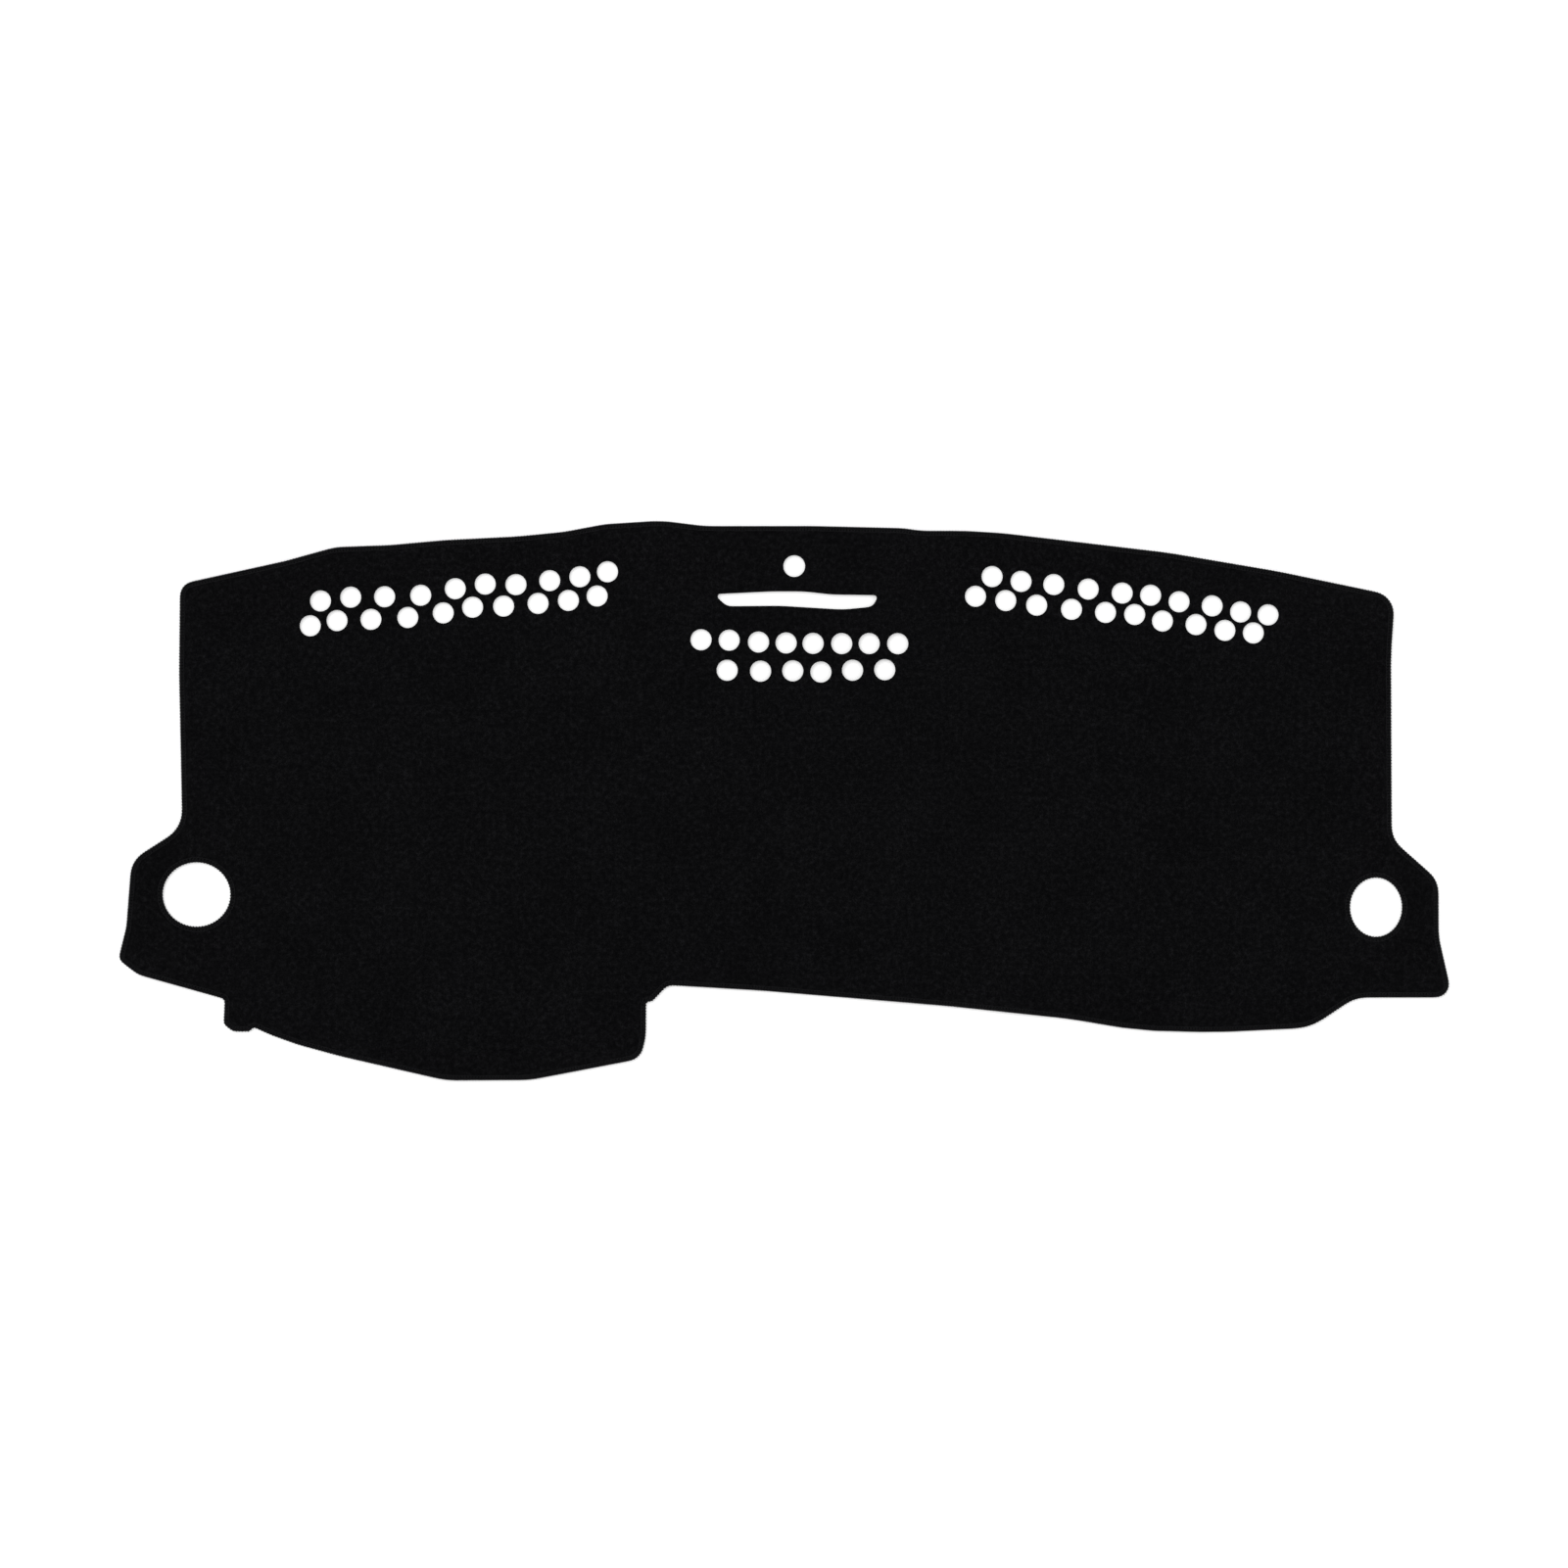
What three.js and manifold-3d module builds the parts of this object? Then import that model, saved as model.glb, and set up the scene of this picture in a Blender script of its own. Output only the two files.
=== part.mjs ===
// Dashboard cover mat: one piece of black needle felt, cut to the plan of a dashboard top and lying flat.
// Millimetres, +Z up. The origin is in the middle of the mat on its underside, +X points to the
// passenger's side and +Y to the windscreen. All places are seen from above, for a left-hand-drive car.

import * as THREE from "three";
import { mergeVertices } from "three/addons/utils/BufferGeometryUtils.js";
import Module from "manifold-3d";

const wasm = await Module();
wasm.setup();

// Felt sheet
const FELT_THICKNESS = 4;
const EDGE_ROUNDING = 1.6; // how far the overlock seam draws the cut edge in, above and below
const EDGE_STEPS = 2; // facets from a face to the upright band of the edge
const ARC_STEP = THREE.MathUtils.degToRad(13); // largest turn of one facet round a corner
const FELT_COLOUR = 0x0b0b0c;
const FELT_ROUGHNESS = 0.96;

// Overall plan
const MAT_WIDTH = 1450; // across the tips of the two ears
const MAT_DEPTH = 610; // from the front of the hood lobe to the crown of the windscreen edge

// Ears that cover the door ends of the dashboard
const DRIVER_EAR_REACH = 66; // beyond the pillar edge
const DRIVER_EAR_DEPTH = 185; // from the front line up to the pillar edge
const PASSENGER_EAR_REACH = 63.5;
const PASSENGER_EAR_DEPTH = 172.5;

// Lobe that covers the instrument hood, in front of the driver
const HOOD_REACH = 90.4; // forward of the front line
const HOOD_WIDTH = 458.8;
const HOOD_INSET = 49; // from the driver's pillar edge to the lobe
const HOOD_DROP = 37; // short upright edge at the outer end of the lobe

// Lobe in front of the passenger
const PASSENGER_LOBE_REACH = 38;

// Pillar edges: how far the corner at the ear stands inwards and the long bow stands outwards
const DRIVER_PILLAR_EDGE = { cornerInset: 2.5, cornerRadius: 34, bow: 1, bowRadius: 400 };
const PASSENGER_PILLAR_EDGE = { cornerInset: -0.6, cornerRadius: 30, bow: -0.4, bowRadius: 300 };

// Windscreen edge, from the driver's pillar to the passenger's: how far across each corner lies, as a
// part of the way, how far in front of the crown, and its radius
const WINDSCREEN_PARTS = [
  0, 0.087, 0.128, 0.173, 0.219, 0.279, 0.317, 0.351, 0.397,
  0.433, 0.522, 0.597, 0.612, 0.648, 0.68, 0.816, 0.906, 1.003,
];
const WINDSCREEN_DROPS = [
  69, 43.8, 28.7, 26.5, 21, 17, 12, 3.6, -0.2,
  5.7, 5.7, 8, 10.9, 10.9, 13.5, 34.8, 55, 81.7,
];
const WINDSCREEN_RADII = [
  15, 60, 60, 150, 150, 200, 80, 60, 80,
  90, 400, 60, 60, 200, 200, 300, 400, 24,
];

// Passenger's ear, which flares out to its tip: inset from the tip line, then rise above the front line
// or drop below the pillar corner
const PASSENGER_EAR = {
  shoulder: { inset: 12, drop: 45, radius: 28 },
  waist: { inset: 11.7, rise: 66, radius: 50 },
  tip: { flare: 3.2, rise: 0.2, radius: 14 },
};

// Front edge, from the passenger's ear to the middle of the dashboard. The long run is a list of
// corners, each so far behind the lobe's front.
const PASSENGER_LOBE = {
  root: { inset: 38.9, radius: 40 },
  flank: { inset: 88.5, behind: 5, radius: 60 },
};
const FRONT_EDGE_PARTS = [0.764, 0.66, 0.568, 0.407, 0.152];
const FRONT_EDGE_BEHIND = [0, 2.2, 14.8, 28.6, 45.8];
const FRONT_EDGE_RADII = [400, 250, 300, 500, 500];

// Step up to the hood lobe, cut across its inner corner
const HOOD_STEP = {
  top: { out: 23.5, rise: 13.6, radius: 12 },
  cut: { out: 7, drop: 4, radius: 5 },
  foot: { drop: 4.8, radius: 4 },
};

// Hood lobe: its inner end, its front, and the small tab at its outer end
const HOOD_INNER_END = { bow: 0.2, bowRadius: 60, cornerInset: 6, cornerRadius: 19 };
const HOOD_FRONT_PARTS = [0.276, 0.475, 0.725];
const HOOD_FRONT_BEHIND = [0.4, 0, 26.3];
const HOOD_FRONT_RADII = [60, 90, 300];
const HOOD_OUTER_END = {
  curve: { inset: 65, drop: 10.4, radius: 200 },
  nick: { inset: 31.3, rise: 4.6, radius: 3 },
  tabInner: { inset: 26, radius: 3 },
  tabOuter: { inset: 8.5, radius: 8 },
  tabSide: { out: 1.5, rise: 8, radius: 6 },
  top: { out: 0.2, drop: 1.6, radius: 5 },
};

// Driver's ear, which tapers to its tip: in from the tip line, then up from the front line
const DRIVER_EAR = {
  front: { inset: 20, rise: 25, radius: 25 },
  tip: { flare: 1.4, rise: 41.5, radius: 9 },
  waist: { inset: 7.5, rise: 77, radius: 30 },
  shoulder: { inset: 13, drop: 35.5, radius: 30 },
};

// Side vents, plain ovals near the ears
const DRIVER_VENT = { width: 74.1, depth: 70.5, inset: 17.8, forward: 112.2 };
const PASSENGER_VENT = { width: 57, depth: 64.8, inset: 16.4, forward: 98.4 };
const VENT_SEGMENTS = 48;

// Die-cut holes over the windscreen defroster
const HOLE_DIAMETER = 23;
const HOLE_SEGMENTS = 20;

// Each field starts at its outermost hole and has one web for each further hole. A setback is how far
// a hole's centre lies behind the windscreen edge. Each hole has a partner in the rear row, so far
// across from it and so far behind it.
const DRIVER_FIELD = {
  fromPillar: 141.8,
  webs: [6.2, 13.9, 17.2, 15.7, 9, 10.8, 14.6, 10.1, 8.3],
  setbacks: [78, 80, 80, 80.5, 79, 74.5, 75, 75, 75.5, 76.5],
  partnersAcross: [11.2, 14.9, 15, 14.1, 13.1, 13.8, 13.5, 12.7, 12.5, 11.3],
  partnersBehind: [27.1, 25.5, 24.7, 24.2, 26.4, 25.2, 23.4, 24.8, 25.8, 26.4],
};
const PASSENGER_FIELD = {
  fromPillar: 150.2,
  webs: [8, 8.5, 13.6, 7.3, 8.8, 14.1, 15, 10.7, 10],
  setbacks: [71.5, 74, 73, 75, 71.5, 73, 74, 74, 73, 70.5],
  partnersAcross: [16, 17.1, 17.6, 18.1, 17.4, 18.2, 18.2, 18.7, 16.7, 18.1],
  partnersBehind: [19.7, 20.1, 20.4, 21, 21, 21.1, 22, 22.5, 20.9, 21.5],
};

// Two rows over the middle vents. Their setbacks are measured from the crown of the windscreen edge.
const MIDDLE_REAR_ROW = {
  middle: 16.2,
  webs: [7.7, 9, 7.1, 6.4, 8.2, 7, 8.1],
  setbacks: [129.5, 130, 132, 133, 133.5, 133.7, 133.7, 133.8],
};
const MIDDLE_FRONT_ROW = {
  middle: 23.4,
  webs: [13.4, 12.1, 7.7, 11.5, 12.1],
  setbacks: [162.8, 163.8, 163.4, 164.7, 162.8, 162.2],
};

// Boat-shaped slit, with its crowned rear edge and its cut-off ends. Drops are measured from the rear
// belly and rises from the front one.
const SLIT = {
  length: 177,
  middle: 12.5,
  setback: 86.5,
  rearBelly: 9.7,
  frontBelly: 10.2,
  crownRadius: 150,
  crownEndRadius: 90,
  shelf: { drop: 3.4, radius: 60 },
  driverRear: { out: 1, drop: 3, radius: 3 },
  passengerRear: { out: 1, drop: 4.2, radius: 3 },
  passengerFront: { inset: 4, rise: 3.3, radius: 10 },
  keelRadius: 60,
  frontMiddle: { rise: 4.2, radius: 150 },
  driverFront: { inset: 13, rise: 3.7, radius: 12 },
};

// Round hole for the light sensor, behind the slit
const SENSOR = { diameter: 23.7, middle: 10.6, setback: 49.2 };

// Lines of the plan that the rest is measured from
const rearLine = MAT_DEPTH / 2;
const frontLine = HOOD_REACH - MAT_DEPTH / 2;
const lobeFront = frontLine - PASSENGER_LOBE_REACH;
const tabFront = frontLine - HOOD_DROP;
const driverTip = -MAT_WIDTH / 2;
const passengerTip = MAT_WIDTH / 2;
const driverPillar = driverTip + DRIVER_EAR_REACH;
const passengerPillar = passengerTip - PASSENGER_EAR_REACH;
const driverNotch = frontLine + DRIVER_EAR_DEPTH;
const passengerNotch = frontLine + PASSENGER_EAR_DEPTH;
const hoodOuter = driverPillar + HOOD_INSET;
const hoodInner = hoodOuter + HOOD_WIDTH;

/** A corner of the plan: its place and the radius that the shears leave on it. */
const corner = (x, y, radius) => ({ x, y, radius });

/** A place between two lines of the plan, as a part of the way from the first to the second. */
const between = (from, to, part) => THREE.MathUtils.lerp(from, to, part);

// Pillar edge on the driver's side, from the ear to the windscreen
const driverPillarEdge = [
  corner(driverPillar + DRIVER_PILLAR_EDGE.cornerInset, driverNotch, DRIVER_PILLAR_EDGE.cornerRadius),
  corner(
    driverPillar - DRIVER_PILLAR_EDGE.bow,
    between(frontLine, rearLine, 0.68),
    DRIVER_PILLAR_EDGE.bowRadius,
  ),
];

const windscreenEdge = WINDSCREEN_PARTS.map((part, i) => corner(
  between(driverPillar, passengerPillar, part),
  rearLine - WINDSCREEN_DROPS[i],
  WINDSCREEN_RADII[i],
));

// Pillar edge on the passenger's side, from the windscreen to the ear
const passengerPillarEdge = [
  corner(
    passengerPillar + PASSENGER_PILLAR_EDGE.bow,
    between(frontLine, rearLine, 0.72),
    PASSENGER_PILLAR_EDGE.bowRadius,
  ),
  corner(
    passengerPillar - PASSENGER_PILLAR_EDGE.cornerInset,
    passengerNotch,
    PASSENGER_PILLAR_EDGE.cornerRadius,
  ),
];

const { shoulder, waist, tip } = PASSENGER_EAR;
const passengerEar = [
  corner(passengerTip - shoulder.inset, passengerNotch - shoulder.drop, shoulder.radius),
  corner(passengerTip - waist.inset, frontLine + waist.rise, waist.radius),
  corner(passengerTip + tip.flare, frontLine + tip.rise, tip.radius),
];

const { root, flank } = PASSENGER_LOBE;
const frontEdge = [
  corner(passengerPillar - root.inset, frontLine, root.radius),
  corner(passengerPillar - flank.inset, lobeFront + flank.behind, flank.radius),
  ...FRONT_EDGE_PARTS.map((part, i) => corner(
    between(hoodInner, passengerPillar, part),
    lobeFront + FRONT_EDGE_BEHIND[i],
    FRONT_EDGE_RADII[i],
  )),
];

const hoodStep = [
  corner(hoodInner + HOOD_STEP.top.out, frontLine + HOOD_STEP.top.rise, HOOD_STEP.top.radius),
  corner(hoodInner + HOOD_STEP.cut.out, frontLine - HOOD_STEP.cut.drop, HOOD_STEP.cut.radius),
  corner(hoodInner, frontLine - HOOD_STEP.foot.drop, HOOD_STEP.foot.radius),
];

const { curve, nick, tabInner, tabOuter, tabSide, top } = HOOD_OUTER_END;
const hoodLobe = [
  corner(hoodInner - HOOD_INNER_END.bow, between(frontLine, -rearLine, 0.47), HOOD_INNER_END.bowRadius),
  corner(
    hoodInner - HOOD_INNER_END.cornerInset,
    between(frontLine, -rearLine, 0.74),
    HOOD_INNER_END.cornerRadius,
  ),
  ...HOOD_FRONT_PARTS.map((part, i) => corner(
    between(hoodInner, hoodOuter, part),
    HOOD_FRONT_BEHIND[i] - rearLine,
    HOOD_FRONT_RADII[i],
  )),
  corner(hoodOuter + curve.inset, tabFront - curve.drop, curve.radius),
  corner(hoodOuter + nick.inset, tabFront + nick.rise, nick.radius),
  corner(hoodOuter + tabInner.inset, tabFront, tabInner.radius),
  corner(hoodOuter + tabOuter.inset, tabFront, tabOuter.radius),
  corner(hoodOuter - tabSide.out, tabFront + tabSide.rise, tabSide.radius),
  corner(hoodOuter - top.out, frontLine - top.drop, top.radius),
];

const driverEar = [
  corner(driverTip + DRIVER_EAR.front.inset, frontLine + DRIVER_EAR.front.rise, DRIVER_EAR.front.radius),
  corner(driverTip - DRIVER_EAR.tip.flare, frontLine + DRIVER_EAR.tip.rise, DRIVER_EAR.tip.radius),
  corner(driverTip + DRIVER_EAR.waist.inset, frontLine + DRIVER_EAR.waist.rise, DRIVER_EAR.waist.radius),
  corner(
    driverTip + DRIVER_EAR.shoulder.inset,
    driverNotch - DRIVER_EAR.shoulder.drop,
    DRIVER_EAR.shoulder.radius,
  ),
];

const matCorners = [
  ...driverPillarEdge,
  ...windscreenEdge,
  ...passengerPillarEdge,
  ...passengerEar,
  ...frontEdge,
  ...hoodStep,
  ...hoodLobe,
  ...driverEar,
];

/** The arc that rounds one corner between its two neighbours, as a short run of points. */
function roundedCorner(before, here, after) {
  const point = new THREE.Vector2(here.x, here.y);
  const back = new THREE.Vector2(before.x, before.y).sub(point);
  const ahead = new THREE.Vector2(after.x, after.y).sub(point);
  const room = 0.48 * Math.min(back.length(), ahead.length());
  back.normalize();
  ahead.normalize();
  const turn = Math.PI - Math.acos(THREE.MathUtils.clamp(back.dot(ahead), -1, 1));
  const tangent = Math.min(here.radius * Math.tan(turn / 2), room);
  const radius = tangent / Math.tan(turn / 2);
  const middle = back.clone().add(ahead).normalize().multiplyScalar(Math.hypot(radius, tangent)).add(point);
  const start = back.multiplyScalar(tangent).add(point).sub(middle);
  const side = Math.sign(start.x * (point.y - middle.y) - start.y * (point.x - middle.x));
  const steps = Math.max(1, Math.ceil(turn / ARC_STEP));
  return Array.from({ length: steps + 1 }, (_, i) =>
    start.clone().rotateAround(new THREE.Vector2(), (side * turn * i) / steps).add(middle));
}

/** A closed outline with every corner rounded. */
function roundedOutline(corners) {
  return corners.flatMap((here, i) =>
    roundedCorner(corners.at(i - 1), here, corners[(i + 1) % corners.length]));
}

/** The windscreen edge's place in depth at a place across the mat. */
function windscreenEdgeAt(x) {
  const next = windscreenEdge.findIndex((place) => place.x > x);
  const after = windscreenEdge[THREE.MathUtils.clamp(next, 1, windscreenEdge.length - 1)];
  const before = windscreenEdge[windscreenEdge.indexOf(after) - 1];
  return THREE.MathUtils.mapLinear(x, before.x, after.x, before.y, after.y);
}

/** A closed geometry as a solid that can be cut. */
function toSolid(geometry) {
  const bare = geometry.clone();
  bare.deleteAttribute("normal");
  bare.deleteAttribute("uv");
  const merged = mergeVertices(bare, 1e-4);
  return new wasm.Manifold(new wasm.Mesh({
    numProp: 3,
    vertProperties: merged.attributes.position.array,
    triVerts: Uint32Array.from(merged.index.array),
  }));
}

/** A solid as a geometry that can be shown. */
function toGeometry(solid) {
  const mesh = solid.getMesh();
  const geometry = new THREE.BufferGeometry();
  geometry.setAttribute("position", new THREE.BufferAttribute(mesh.vertProperties, 3));
  geometry.setIndex(new THREE.BufferAttribute(mesh.triVerts, 1));
  geometry.computeVertexNormals();
  return geometry;
}

/** The sheet with its drawn-in edge, round the outline and round both side vents. */
function makeSheet() {
  const plan = new THREE.Shape(roundedOutline(matCorners));
  for (const vent of [
    { x: driverPillar + DRIVER_VENT.inset, ...DRIVER_VENT },
    { x: passengerPillar - PASSENGER_VENT.inset, ...PASSENGER_VENT },
  ]) {
    const oval = new THREE.EllipseCurve(vent.x, frontLine + vent.forward, vent.width / 2, vent.depth / 2);
    plan.holes.push(new THREE.Path(oval.getPoints(VENT_SEGMENTS).slice(1)));
  }
  return new THREE.ExtrudeGeometry(plan, {
    depth: FELT_THICKNESS - 2 * EDGE_ROUNDING,
    steps: 1,
    bevelThickness: EDGE_ROUNDING,
    bevelSize: EDGE_ROUNDING,
    bevelOffset: -EDGE_ROUNDING,
    bevelSegments: EDGE_STEPS,
  }).translate(0, 0, EDGE_ROUNDING);
}

/** A punch that goes right through the sheet, from its plan. */
function punch(plan) {
  return new THREE.ExtrudeGeometry(plan, { depth: 3 * FELT_THICKNESS, steps: 1, bevelEnabled: false })
    .translate(0, 0, -FELT_THICKNESS);
}

/** A round punch. */
function roundPunch(x, y, diameter) {
  const circle = new THREE.EllipseCurve(x, y, diameter / 2, diameter / 2);
  return punch(new THREE.Shape(circle.getPoints(HOLE_SEGMENTS).slice(1)));
}

/** Places across the mat of a row of holes, from its first hole, with a web before each further one. */
function rowPlaces(first, webs, direction) {
  const places = [first];
  for (const web of webs) {
    places.push(places.at(-1) + direction * (HOLE_DIAMETER + web));
  }
  return places;
}

/** Both rows of a defroster field, which run along the windscreen edge. */
function defrosterPunches(field, pillar, inwards) {
  return rowPlaces(pillar + inwards * field.fromPillar, field.webs, inwards).flatMap((x, i) => {
    const y = windscreenEdgeAt(x) - field.setbacks[i];
    return [
      roundPunch(x, y, HOLE_DIAMETER),
      roundPunch(x + field.partnersAcross[i], y + field.partnersBehind[i], HOLE_DIAMETER),
    ];
  });
}

/** One row of holes over the middle vents, spread evenly about its middle. */
function middlePunches(row) {
  const length = row.webs.reduce((sum, web) => sum + HOLE_DIAMETER + web, 0);
  return rowPlaces(row.middle - length / 2, row.webs, 1)
    .map((x, i) => roundPunch(x, rearLine - row.setbacks[i], HOLE_DIAMETER));
}

/** The boat-shaped slit: a long pointed opening with a crowned rear edge. */
function slitPunch() {
  const { driverRear, shelf, passengerRear, passengerFront, frontMiddle, driverFront } = SLIT;
  const driverEnd = SLIT.middle - SLIT.length / 2;
  const passengerEnd = SLIT.middle + SLIT.length / 2;
  const rear = rearLine - SLIT.setback + SLIT.rearBelly;
  const front = rearLine - SLIT.setback - SLIT.frontBelly;
  return punch(new THREE.Shape(roundedOutline([
    corner(driverEnd - driverRear.out, rear - driverRear.drop, driverRear.radius),
    corner(between(driverEnd, passengerEnd, 0.35), rear, SLIT.crownRadius),
    corner(between(driverEnd, passengerEnd, 0.55), rear, SLIT.crownEndRadius),
    corner(between(driverEnd, passengerEnd, 0.72), rear - shelf.drop, shelf.radius),
    corner(passengerEnd + passengerRear.out, rear - passengerRear.drop, passengerRear.radius),
    corner(passengerEnd - passengerFront.inset, front + passengerFront.rise, passengerFront.radius),
    corner(between(driverEnd, passengerEnd, 0.79), front, SLIT.keelRadius),
    corner(between(driverEnd, passengerEnd, 0.4), front + frontMiddle.rise, frontMiddle.radius),
    corner(driverEnd + driverFront.inset, front + driverFront.rise, driverFront.radius),
  ])));
}

const punches = [
  ...defrosterPunches(DRIVER_FIELD, driverPillar, 1),
  ...defrosterPunches(PASSENGER_FIELD, passengerPillar, -1),
  ...middlePunches(MIDDLE_REAR_ROW),
  ...middlePunches(MIDDLE_FRONT_ROW),
  roundPunch(SENSOR.middle, rearLine - SENSOR.setback, SENSOR.diameter),
  slitPunch(),
];

const sheet = punches.reduce((solid, cutter) => solid.subtract(toSolid(cutter)), toSolid(makeSheet()));

const mat = new THREE.Mesh(
  toGeometry(sheet),
  new THREE.MeshStandardMaterial({ color: FELT_COLOUR, roughness: FELT_ROUGHNESS, metalness: 0 }),
);
mat.name = "dash_mat";

const group = new THREE.Group();
group.name = "dashboard_cover_mat";
group.add(mat);

export default group;
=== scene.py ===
"""Dressed model of a dashboard cover mat: black needle felt with an overlocked edge, laid flat.

Everything is in metres in the mat's own frame: +X to the passenger's side, +Y to the windscreen and
+Z up, with the origin in the middle of the underside.
"""

from __future__ import annotations

import logging
import math
from dataclasses import dataclass, field
from enum import Enum

import bpy
import numpy as np
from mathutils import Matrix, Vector, geometry, kdtree, noise

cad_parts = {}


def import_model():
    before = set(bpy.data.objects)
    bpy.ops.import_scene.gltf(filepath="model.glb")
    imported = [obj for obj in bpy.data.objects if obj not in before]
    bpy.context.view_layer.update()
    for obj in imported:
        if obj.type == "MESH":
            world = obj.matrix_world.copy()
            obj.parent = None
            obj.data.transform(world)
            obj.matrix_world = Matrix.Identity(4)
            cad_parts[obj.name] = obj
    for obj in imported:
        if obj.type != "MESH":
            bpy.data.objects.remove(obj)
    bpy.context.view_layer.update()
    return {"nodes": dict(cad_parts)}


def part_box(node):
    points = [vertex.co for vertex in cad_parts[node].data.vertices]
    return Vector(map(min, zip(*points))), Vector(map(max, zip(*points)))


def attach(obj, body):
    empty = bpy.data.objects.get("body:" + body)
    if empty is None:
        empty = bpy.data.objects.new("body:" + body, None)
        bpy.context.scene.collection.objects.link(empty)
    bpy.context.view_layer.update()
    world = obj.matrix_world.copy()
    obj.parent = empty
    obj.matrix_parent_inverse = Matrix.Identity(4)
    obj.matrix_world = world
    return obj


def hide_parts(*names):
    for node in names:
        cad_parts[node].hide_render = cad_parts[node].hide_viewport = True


LOG = logging.getLogger("dash_mat")

MM = 0.001
MAT_NODE = "dash_mat"
BODY = "root"

# The overlocked edges, the outline first and then the vents by size
SEAM_NAMES = ("outer_edge", "driver_vent", "passenger_vent")

# How far a mitred corner of an inset edge may stand out, as a share of the inset
MITRE_LIMIT = 1.4

# The photograph's frame, which looks straight down on the mat
PHOTO_PIXELS = 1601
PHOTO_SCALE = 1.06775 * MM
PHOTO_MAT_CENTRE = (800.5, 817.0)


class EdgeFinish(Enum):
    """How an edge of the felt is finished."""

    OVERLOCKED = "overlocked"
    DIE_CUT = "die_cut"


class Face(Enum):
    """The side of the felt that a thread lies on."""

    UPPER = 1
    LOWER = -1


def linear(hex_colour: str) -> tuple[float, float, float, float]:
    """Turn an sRGB hex colour into a linear colour with full alpha.

    Args:
        hex_colour: Colour as "#RRGGBB".

    Returns:
        Red, green, blue and alpha as Blender's sockets take them.
    """
    channels = [int(hex_colour[i:i + 2], 16) / 255 for i in (1, 3, 5)]
    red, green, blue = (c / 12.92 if c <= 0.04045 else ((c + 0.055) / 1.055) ** 2.4 for c in channels)
    return red, green, blue, 1.0


def add_node(tree: bpy.types.NodeTree, kind: str, inputs: dict | None = None, **settings) -> bpy.types.Node:
    """Add a node with its settings, and fill or link its inputs.

    Args:
        tree: Node tree to add to.
        kind: Blender's name of the node type.
        inputs: Input name or index to a value, or to an output socket that is linked to it.
        **settings: Properties of the node itself.

    Returns:
        The new node.
    """
    node = tree.nodes.new(kind)
    for name, value in settings.items():
        setattr(node, name, value)
    for name, value in (inputs or {}).items():
        if isinstance(value, bpy.types.NodeSocket):
            tree.links.new(value, node.inputs[name])
        else:
            node.inputs[name].default_value = value
    return node


def new_material(name: str) -> tuple[bpy.types.Material, bpy.types.NodeTree]:
    """Make an empty node material.

    Args:
        name: Name of the material.

    Returns:
        The material and its cleared node tree.
    """
    material = bpy.data.materials.new(name)
    material.use_nodes = True
    material.node_tree.nodes.clear()
    return material, material.node_tree


def set_ramp(node: bpy.types.Node, stops: list[tuple[float, str]]) -> None:
    """Set a colour ramp's stops.

    Args:
        node: Colour ramp node.
        stops: Position and hex colour of each stop, in order.
    """
    elements = node.color_ramp.elements
    while len(elements) < len(stops):
        elements.new(1.0)
    for element, (position, colour) in zip(elements, stops):
        element.position = position
        element.color = linear(colour)


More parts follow.
